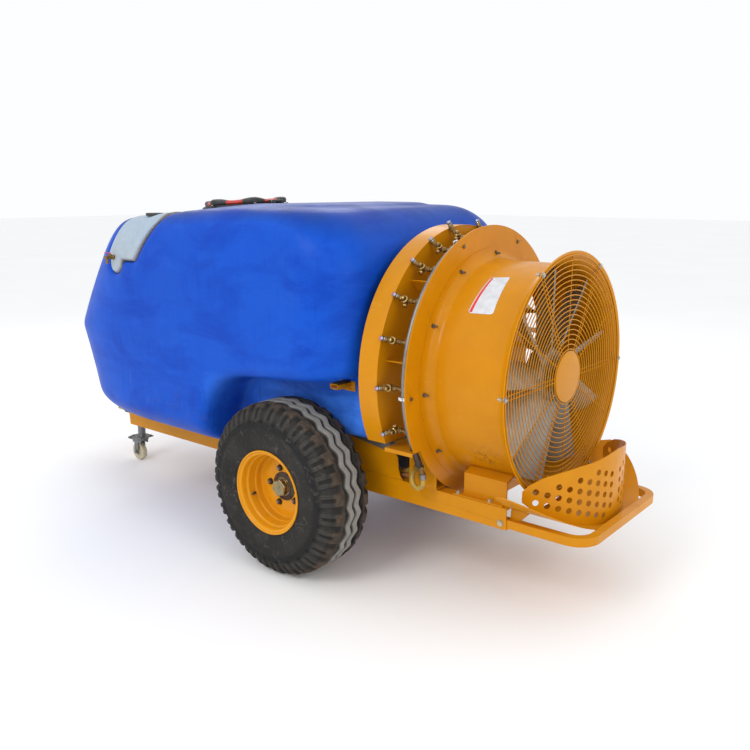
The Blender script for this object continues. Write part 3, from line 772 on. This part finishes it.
HP = [(558.5, -406, 482), (559, -401, 457), (553, -398, 433), (530, -397, 418), (508, -395, 430), (498, -386, 454), (494, -366, 475), (494, -335, 480), (481, -302, 474), (440, -286, 450), (380, -280, 422), (300, -278, 412),
      (100, -275, 412), (-40, -272, 410), (-100, -268, 385), (-160, -264, 345), (-230, -262, 335), (-500, -262, 335), (-800, -262, 335),
      (-1100, -262, 335), (-1430, -262, 335), (-1560, -235, 325), (-1700, -165, 300), (-1790, -130, 285), (-1836, -118, 281), (-1840, -93, 280)]
HP = np.array(HP) / 1000 + (AX, 0, 0)
b = B()
for S in (np.eye(4), MIRY):
    path = smooth_path(HP, 10); b.add(tube(path, .0106, 18), 0, S)
    for k in (2, -3):
        p, q = (path[0], path[3]) if k > 0 else (path[-1], path[-4])
        d = (q - p) / np.linalg.norm(q - p); u = np.cross(d, (0, 0, 1.)) if abs(d[2]) < .9 else np.cross(d, (1., 0, 0)); u /= np.linalg.norm(u); Xq = np.eye(4); Xq[:3, 0] = u; Xq[:3, 1] = np.cross(d, u); Xq[:3, 2] = d; Xq[:3, 3] = p
        b.add(loopit([(.0098, -.002), (.0132, -.001), (.0134, .003), (.0128, .0036), (.0134, .0044), (.0134, .0090), (.0128, .0096), (.0134, .0104), (.0134, .0200), (.0124, .0215), (.0098, .0215)][::-1], 32), 1, S @ Xq)
    # rubber sleeve where the hose passes through the duct side
    b.add(loopit([(.0104, -.0075), (.0150, -.0075), (.0152, -.003), (.0125, -.0015), (.0125, .0015), (.0152, .003), (.0150, .0075), (.0104, .0075)][::-1], 32), 2, S @ T(AX + .494, -.3435, .480) @ TONY)
b.obj("yellow_hoses", [HOSE, PIPE, BLACKP], replaces=["spray_hoses"])

# ---------------------------------------------------------------- frame: paint and rounded edges, welds
dress(["chassis_beam_left", "chassis_beam_right", "cross_members", "drawbar"], AMBER, .0022)
dress(["side_plate_left", "side_plate_right", "duct_saddles", "outlet_floor"], AMBER, .0010)
dress(["bumper"], AMBER, .0030)
dress(["rear_pan", "perforated_guard"], AMBER, 0)
dress(["air_drum", "outlet_flange"], AMBER, .0008)
dress("axle_beam", AMBER, .0015)
dress("tow_eye", GREY_STEEL, .0030)
dress("frame_bolts", ZINC, .0010)
dress("tank_mats", RUBBER, .0020)
dress(["caster_mount"], CASTER, .0012); dress("caster_fork", CASTER, .0010); dress("brake_pedal", CASTER, .0009)
dress("bearing_housing", AMBER, .0015); dress("fan_shaft", GREY_STEEL, .0012)
dress(["upper_pulley", "lower_pulley"], DARK_STEEL, .0012); dress("drive_belt", BELT, .0008)
dress("drive_shaft", GREY_STEEL, .0012); dress("shaft_bearings", GREY_STEEL, .0018)
dress(["pump_body", "pump_heads"], PUMPRED, .0030); dress("suction_filter", BLACKP, .0022)
dress("pressure_regulator", BRASS, .0016); dress("tap_body", BRASS, .0010); dress("tap_lever", REDP, .0008)
dress("drain_cap", BLACKP, .0010)

# weld beads along the main joints of the frame
def bead(P, r=.0032, seed=1):
    P = np.asarray(P, float); n = max(6, int(np.linalg.norm(P[-1] - P[0]) / .0035)); t = np.linspace(0, 1, n)[:, None]
    if len(P) == 2: Q = P[0] * (1 - t) + P[1] * t
    else: Q = P
    rs = r * (1 + .22 * np.sin(np.arange(len(Q)) * 2.1 + seed)); return tube(Q, rs, 8)
b = B()
for S in (np.eye(4), MIRY):
    yb = -.3332
    for p in (((AX - .118, yb, .4010), (AX + .406, yb, .4010)),                 # side plate on the beam
              ((AX - .118, -.3278, .4010), (AX + .405, -.3278, .4010)),
              ((AX + .676, -.2975, .4056), (AX + .858, -.2975, .4056)),          # saddle
              ((AX + .186, -.4268, .7655), (AX + .224, -.4268, .7655)),
              ((AX + .9140, -.3005, .3580), (AX + .9240, -.3005, .3580))):
        b.add(bead(p), 0, S)
    for x_ in (AX - 1.400, AX - 1.350, AX - .730, AX - .680):
        b.add(bead(((x_, -.3275, .3100), (x_, -.3275, .3575))), 0, S)
    b.add(bead(((AX - 1.400, -.0508, .3100), (AX - 1.400, -.0508, .3575))), 0, S); b.add(bead(((AX - 1.350, -.0508, .3100), (AX - 1.350, -.0508, .3575))), 0, S)
    b.add(bead(((AX - 2.0303, -.0505, .2930), (AX - 2.0303, -.0505, .3610)), .004), 0, S)
b.add(bead(((AX - 2.0303, -.0500, .3622), (AX - 2.0303, .0500, .3622)), .004), 0)
for a_ in (9, 46, 134, 171):
    Xs = fan(a_)
    for z_ in (-.0028, .0028): b.add(bead(((AX + .4520, -.498, z_), (AX + .4520, -.447, z_)), .0022), 0, Xs); b.add(bead(((AX + .5795, -.498, z_), (AX + .5795, -.447, z_)), .0022), 0, Xs)
t_ = np.linspace(-62, 242, 150)
b.add(tube([(AX + .4525, -.5485 * math.cos(math.radians(t)), FZ + .5485 * math.sin(math.radians(t))) for t in t_ if FZ + .5485 * math.sin(math.radians(t)) > .604], .0016, 8), 0)
b.obj("weld_beads", AMBER)
# closing plates beside the belt space, with a sleeve for the hose
b = B()
for S in (np.eye(4), MIRY):
    b.add(brick(AX + .4485, AX + .4520, -.3280, -.2625, .4035, .6000, .0008), 0, S)
b.obj("closing_plates", AMBER)
# zinc washers under the bolt heads, and nuts with visible threads
b = B()
for S in (np.eye(4), MIRY):
    Xo = S @ T(AX + .858, -.333, .341) @ TONY
    b.add(loopit([(.0064, .0002), (.0128, .0002), (.0132, .0008), (.0128, .0018), (.0064, .0018)][::-1], 32), 0, Xo); b.add(hexa(.0112, .0012, .0078, .0014, phase=.3), 0, Xo)
    for x_ in (AX + .662, AX + .800):
        Xo = S @ T(x_, -.315, .4052); b.add(loopit([(.004, 0), (.0105, 0), (.0108, .0005), (.0105, .0012), (.004, .0012)][::-1], 28), 0, Xo)
        b.add(lathe([(.0042, .006), (.0042, .0095), (.0034, .0105), (0, .0105)][::-1], 16), 0, Xo)
b.obj("frame_washers", ZINC)

# ---------------------------------------------------------------- support caster
cx_, cy_ = AX - 1.632, -.120; wx_ = AX - 1.660
b = B(); Xc = T(wx_, cy_, .050) @ TONY
b.add(lathe([(.0062, -.0198), (.0180, -.0198), (.0182, -.0140), (.0200, -.0130), (.0375, -.0130), (.0385, -.0150), (.0460, -.0152), (.0488, -.0135), (.0500, -.0105), (.0500, .0105), (.0488, .0135), (.0460, .0152), (.0385, .0150), (.0375, .0130), (.0200, .0130), (.0182, .0140), (.0180, .0198), (.0062, .0198)][::-1], 96), 0, Xc)
for k in range(8):
    for s_ in (-1, 1): b.add(brick(.0185, .0376, -.0016, .0016, .0118 if s_ > 0 else -.0142, .0142 if s_ > 0 else -.0118, .0008), 0, Xc @ R("z", k * 45))
b.obj("caster_tyre", CREAM, "caster_roller", replaces=["caster_wheel"])
b = B()
for k in range(4):
    b.add(hexa(.0062, .1455, .1510, .0008), 0, T(cx_ + (-.038 if k % 2 else .038), cy_ + (-.031 if k < 2 else .031), 0))
b.add(loopit([(.0205, .1458), (.0242, .1458), (.0235, .1485), (.0212, .1515), (.0205, .1515)], 40), 0, T(cx_, cy_, 0))
b.add(lathe([(.0300, .1392), (.0345, .1394), (.0352, .1398)][::-1], 48), 0, T(cx_, cy_, 0))
b.obj("caster_plate_bolts", CASTER)
b = B()
b.add(loopit([(.020, .1262), (.0362, .1262), (.0372, .1290), (.0362, .1330), (.0340, .1380), (.0300, .1386), (.020, .1386)], 64), 0, T(cx_, cy_, 0))
for s_ in (-1, 1): b.add(hexa(.0085, .0255, .0318, .001), 0, T(wx_, cy_, .050) @ (TONY if s_ > 0 else R("x", -90)))
b.obj("caster_race", CASTER, "caster_swivel")

# ---------------------------------------------------------------- pump details, guards on the drive line
b = B()
Xp = T(AX, 0, .470) @ TOX
for x0 in (-1.7795, -1.6295):
    for k in range(6): b.add(hexa(.0055, x0 - .004 if x0 < -1.7 else x0 + .009, x0 + .001 if x0 < -1.7 else x0 + .0145, .0008), 1, Xp @ R("z", k * 60 + 30) @ T(.055, 0, 0))
for x0 in (-1.765, -1.735, -1.665, -1.635): b.add(loopit([(.066, x0 - .004), (.0705, x0 - .003), (.0712, x0), (.0705, x0 + .003), (.066, x0 + .004)][::-1], 72), 0, Xp)
for S in (np.eye(4), MIRY):
    Xh_ = S @ T(AX - 1.700, 0, .476) @ R("x", -14) @ T(0, -.066, 0) @ TONY
    for k in range(6): b.add(hexa(.0052, .0295, .0350, .0008), 1, Xh_ @ R("z", k * 60) @ T(.046, 0, 0))
    b.add(loopit([(.018, .0435), (.026, .0440), (.028, .0460), (.026, .0475), (.018, .0475)][::-1], 40), 0, Xh_)
b.obj("pump_trim", [PUMPRED, ZINC])
b = B(); Xr = T(AX - 1.840, .074, 0)
for k in range(10): b.add(loopit([(.0145, .402 + .005 * k), (.0158, .4032 + .005 * k), (.0145, .4045 + .005 * k)], 32), 0, Xr)
V_, F_ = lathe([(.0190, .4548), (.0204, .4560), (.0204, .4675), (.0190, .4692), (0, .4700)][::-1], 48); V_ = np.array(V_); aa = np.arctan2(V_[:, 1], V_[:, 0]); kk = np.where(np.round(aa / (math.pi / 24)).astype(int) % 2 == 0, .95, 1.); V_[:, 0] *= kk; V_[:, 1] *= kk
b.add((V_, F_), 1, Xr)
b.obj("regulator_ribs", [BRASS, BLACKP])
b = B(); Xf_ = T(AX - 1.560, .110, 0)
V_, F_ = lathe([(.0440, .4245), (.0472, .4260), (.0472, .4455), (.0455, .4475), (.030, .4482), (.014, .4482), (.012, .4560), (0, .4570)][::-1], 72); V_ = np.array(V_); aa = np.arctan2(V_[:, 1], V_[:, 0]); rr = np.hypot(V_[:, 0], V_[:, 1]); kk = np.where((rr > .045) & (np.round(aa / (math.pi / 36)).astype(int) % 3 == 0), .96, 1.); V_[:, 0] *= kk; V_[:, 1] *= kk
b.add((V_, F_), 0, Xf_); b.add(lathe([(0, .318), (.008, .3185), (.009, .329), (.034, .330)][::-1], 40), 0, Xf_)
b.obj("filter_cap", BLACKP)
# splines on the input end of the drive shaft
b = B(); Xs = T(AX, 0, .470) @ TOX
for k in range(6): b.add(brick(.0135, .0181, -.0028, .0028, -1.8845, -1.7960, .0006), 0, Xs @ R("z", k * 60))
b.obj("shaft_splines", GREY_STEEL, "drive_line")
# tap: packing nut and spout lip, lever rivet; drain cap lanyard boss
b = B(); Xt = T(AX - 1.030, -.640, 1.226)
b.add(hexa(.0085, .0060, .0140, .001), 0, Xt); b.add(hexa(.0120, -.0010, .0080, .0012), 0, T(AX - 1.030, -.6225, 1.226) @ TONY)
b.add(loopit([(.0045, -.0275), (.0082, -.0270), (.0086, -.0250), (.0080, -.0230), (.0045, -.0225)][::-1], 32), 0, T(AX - 1.030, -.656, 1.226))
b.obj("tap_trim", BRASS)

# ---------------------------------------------------------------- floor, light, camera
def floor_mat():
    a = Mat("pale_floor"); n1 = a.noise(.6, 3); c = a.mix(a.ramp(n1, .3, .7), (.93, .93, .93), (.95, .95, .95)); a.color(c); a.rough(.9); a.bump((a.noise(40, 2), .02, .002)); a.set(**{"Specular IOR Level": .1}); return a.m
me = bpy.data.meshes.new("floor"); me.from_pydata([(-40, -40, 0), (40, -40, 0), (40, 40, 0), (-40, 40, 0)], [], [(0, 1, 2, 3)]); me.materials.append(floor_mat())
fl = bpy.data.objects.new("floor", me); scene.collection.objects.link(fl); fl.location.z = CAD_LO.z - .001 if hasattr(CAD_LO, "z") else CAD_LO[2] - .001
w = bpy.data.worlds.new("studio"); scene.world = w; w.use_nodes = True
bg = w.node_tree.nodes["Background"]; bg.inputs[0].default_value = (.98, .99, 1, 1); bg.inputs[1].default_value = 1.0
def area(name, loc, target, size, energy, col=(1, 1, 1)):
    l = bpy.data.lights.new(name, "AREA"); l.shape = "RECTANGLE"; l.size, l.size_y = size; l.energy = energy; l.color = col
    o = bpy.data.objects.new(name, l); scene.collection.objects.link(o); o.location = loc; o.rotation_mode = "QUATERNION"; o.rotation_quaternion = (Vector(target) - Vector(loc)).to_track_quat("-Z", "Y"); return o
area("key", (.6, -5.2, 4.6), (.4, 0, .7), (2.6, 2.2), 112)
area("fill", (5.2, -1.2, 2.6), (.8, 0, .7), (2.4, 2.4), 34)
area("back", (-3.5, 3.5, 4.0), (0, 0, 1.0), (3, 2), 42)
scene.view_settings.view_transform = "Standard"; scene.view_settings.look = "None"; scene.view_settings.exposure = 0; scene.view_settings.gamma = 1
cam = bpy.data.cameras.new("view"); co = bpy.data.objects.new("view", cam); scene.collection.objects.link(co); scene.camera = co
cam.sensor_width = 36; cam.lens = 39.62; cam.clip_end = 200
az, el = math.radians(39.19), math.radians(12.73)
back = Vector((math.sin(az) * math.cos(el), -math.cos(az) * math.cos(el), math.sin(el)))
co.location = (2.742, -2.802, 1.530); co.rotation_mode = "QUATERNION"; co.rotation_quaternion = (-back).to_track_quat("-Z", "Y")
